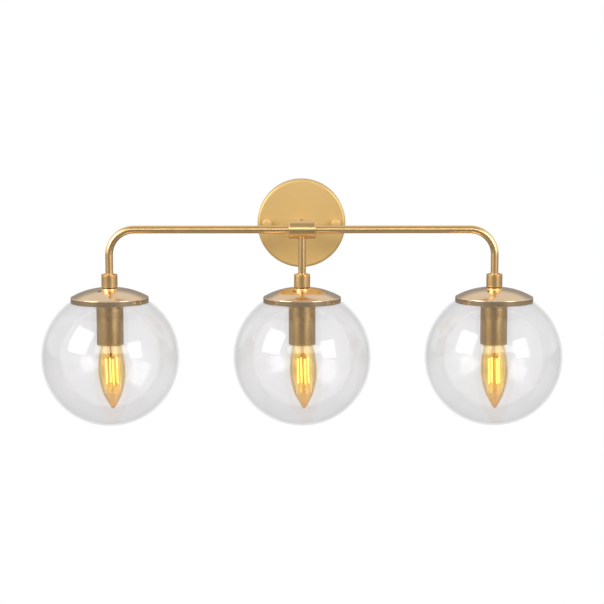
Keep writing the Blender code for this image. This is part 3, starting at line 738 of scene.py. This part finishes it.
def make_contacts(side, upright, leaning):
    node = f"center_contact_{side}"
    _, low, top = span(node)
    section = [(0, low), (1.0 * MM, low), (1.7 * MM, low + 0.5 * MM), (2.2 * MM, top - 0.8 * MM)]
    section += [(4.3 * MM, top - 0.6 * MM), (4.5 * MM, top - 0.4 * MM), (4.5 * MM, top), (0, top)]
    turned(f"spring_contact_{side}", section, 32, CONTACT, "root", node, upright)
    low = -95.9 * MM
    section = [(0, low), (2.7 * MM, low), (2.65 * MM, low + 0.5 * MM), (2.2 * MM, low + 1.2 * MM)]
    section += [(1.2 * MM, low + 1.65 * MM), (0, low + 1.8 * MM)]
    body = f"bulb_contact_{side}"
    turned(f"solder_tip_{side}", section, 32, CONTACT, body, body, leaning)


def make_light(side):
    x = AXES[side].x
    upright = Matrix.Translation((x, BAR.y, 0))
    pivot = Matrix.Translation((x, BAR.y, BULB_PIVOT))
    lean = Matrix.Rotation(-BULB_LEAN, 4, "Y")
    leaning = pivot @ lean @ Matrix.Translation((0, 0, -BULB_PIVOT))
    turned(f"collar_ring_{side}", collar_section(), 72, BRASS, "root", f"collar_{side}", upright)
    section, thread = cap_section()
    node = f"glass_cap_{side}"
    cap = turned(f"domed_cap_{side}", section, 144, CAP, "root", node, upright, thread)
    vents = []
    for angle in VENT_ANGLES:
        spot = Matrix.Rotation(math.radians(angle), 4, "Z") @ Vector((VENT_CIRCLE, 0, 0))
        vents.append((rod(VENT_RADIUS, -76 * MM, -62 * MM), Matrix.Translation(spot)))
    bore(cap, vents)
    node = f"globe_seal_{side}"
    _, low, high = span(node)
    ring = pipe(38.1 * MM, 40 * MM, low, high, 0.3 * MM)
    turned(f"seal_ring_{side}", ring, 96, RUBBER, node, node, upright)
    section, thread = globe_section()
    node = f"globe_{side}"
    turned(f"blown_globe_{side}", section, 144, CLEAR, node, node, upright, thread)
    turned(f"cup_shell_{side}", cup_section(), 96, BRASS, "root", f"socket_cup_{side}", upright)
    node = f"lampholder_{side}"
    turned(f"holder_body_{side}", holder_section(), 64, PHENOLIC, "root", node, upright)
    section, thread = shell_section()
    node = f"screw_shell_{side}"
    turned(f"rolled_shell_{side}", section, 64, CONTACT, "root", node, upright, thread, sharp=70)
    body = f"bulb_{side}"
    section, thread = base_section()
    node = f"bulb_base_{side}"
    turned(f"rolled_base_{side}", section, 64, CONTACT, body, node, leaning, thread)
    node = f"bulb_glass_{side}"
    turned(f"candle_glass_{side}", bulb_section(), 72, AMBER, body, node, leaning)
    add_filament(side, leaning)
    make_contacts(side, upright, leaning)


# Stage


def softbox(name, direction, half_width, half_height, radiance, mirrored=True, distance=2.6):
    """A soft light aimed at the middle of the lights. Its size is given as half angles in degrees."""
    width = 2 * distance * math.tan(math.radians(half_width))
    height = 2 * distance * math.tan(math.radians(half_height))
    light = bpy.data.lights.new(name, "AREA")
    light.shape = "RECTANGLE"
    light.size = width
    light.size_y = height
    light.energy = radiance * math.pi * width * height
    lamp = bpy.data.objects.new(name, light)
    toward = Vector(direction).normalized()
    lamp.location = Vector((0, BAR.y, -0.12)) + toward * distance
    lamp.rotation_euler = (-toward).to_track_quat("-Z", "Y").to_euler()
    lamp.visible_camera = False
    lamp.visible_glossy = mirrored
    bpy.context.scene.collection.objects.link(lamp)


def straight_through(tree):
    """1 for what is seen directly or through glass, and 0 for what lights or is mirrored in a surface."""
    path = node_of(tree, "ShaderNodeLightPath").outputs
    bounces = math_node(tree, "ADD", path["Glossy Depth"], path["Diffuse Depth"])
    return math_node(tree, "LESS_THAN", bounces, 0.5)


def make_room():
    """White behind everything. Surfaces mirror a studio: bright beside and above, dim elsewhere."""
    world = bpy.data.worlds.new("studio")
    world.use_nodes = True
    world.cycles.sampling_method = "NONE"
    tree = world.node_tree
    direction = node_of(tree, "ShaderNodeTexCoord").outputs["Generated"]
    xyz = node_of(tree, "ShaderNodeSeparateXYZ", i0=direction).outputs
    across = math_node(tree, "ABSOLUTE", xyz[0])
    sides = spread(tree, across, 0.12, 1.0, (0.3, 0.7))
    rear = spread(tree, xyz[1], 0.0, 0.35, (0.2, 0.7))
    level = math_node(tree, "MAXIMUM", sides, rear)
    above = spread(tree, xyz[2], 0.0, 0.78, (0.25, 0.6))
    past = spread(tree, xyz[1], 0.45, 1.0, (-0.3, 0.3))
    below = spread(tree, xyz[2], 1.0, 0.3, (-0.25, -0.6))
    high = math_node(tree, "MULTIPLY", above, past)
    studio = math_node(tree, "MAXIMUM", high, math_node(tree, "MULTIPLY", level, below))
    strength = math_node(tree, "MAXIMUM", studio, straight_through(tree))
    background = tree.nodes["Background"]
    background.inputs["Color"].default_value = (1, 1, 1, 1)
    tree.links.new(strength, background.inputs["Strength"])
    bpy.context.scene.world = world


def make_floor():
    """A plain pale floor that is white to the eye and a soft grey to what mirrors it."""
    size = 60.0
    bm = bmesh.new()
    bmesh.ops.create_grid(bm, x_segments=4, y_segments=4, size=size)
    mesh = bpy.data.meshes.new("floor")
    bm.to_mesh(mesh)
    bm.free()
    floor = bpy.data.objects.new("floor", mesh)
    floor.location = (0, 0, FLOOR_HEIGHT)
    bpy.context.scene.collection.objects.link(floor)
    material, tree, shader = blank("pale_floor")
    point = node_of(tree, "ShaderNodeTexCoord").outputs["Object"]
    noise = node_of(tree, "ShaderNodeTexNoise", Vector=point, Scale=3.0, Detail=4.0).outputs[0]
    tree.links.new(ramp(tree, noise, (0.28, 0.28, 0.27), (0.34, 0.34, 0.33)), shader.inputs["Base Color"])
    shader.inputs["Roughness"].default_value = 0.8
    white = node_of(tree, "ShaderNodeEmission", Strength=1.0).outputs[0]
    seen = straight_through(tree)
    mix = node_of(tree, "ShaderNodeMixShader", i0=seen, i1=shader.outputs[0], i2=white)
    tree.links.new(mix.outputs[0], tree.nodes["Material Output"].inputs["Surface"])
    material.cycles.emission_sampling = "NONE"
    mesh.materials.append(material)


def make_camera():
    data = bpy.data.cameras.new("camera")
    data.sensor_width = 36
    data.lens = 101.7
    camera = bpy.data.objects.new("camera", data)
    camera.location = (-0.0156, BAR.y - CAMERA_AHEAD, 0.1536)
    camera.rotation_euler = Euler((math.radians(90 - 7.18), 0, math.radians(-0.48)))
    bpy.context.scene.collection.objects.link(camera)
    bpy.context.scene.camera = camera


make_canopy()
make_cap_nuts()
make_studs()
make_wall_arm()
softened("wall_arm_nut", 0.35 * MM, STEEL)
for stud_side in SIDES:
    softened(f"stud_nut_{stud_side}", 0.25 * MM, STEEL)
softened("mounting_plate", 0.2 * MM, STEEL, 1)
softened("terminal_block", 0.4 * MM, PHENOLIC)
softened("ground_screw", 0.3 * MM, GREEN)
make_hub()
make_bar_tubes()
make_center_stem()
for light_side in LIGHTS:
    make_light(light_side)
    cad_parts[f"nipple_{light_side}"].data.materials[0] = STEEL
    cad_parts[f"lead_{light_side}"].data.materials[0] = SLEEVE
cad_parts["ground_wire"].data.materials[0] = GREEN

softbox("softbox_left", (-0.737, -0.487, 0.469), 17, 18, 5.0)
softbox("softbox_right", (0.692, -0.654, 0.304), 12, 13.5, 5.0)
softbox("softbox_front", (0.10, -0.93, 0.36), 30, 6, 3.0)
softbox("key", (0.38, -1.0, 0.30), 4, 4, 12.0, mirrored=False)
make_room()
make_floor()
make_camera()
scene = bpy.context.scene
scene.view_settings.view_transform = "Standard"
scene.view_settings.look = "None"
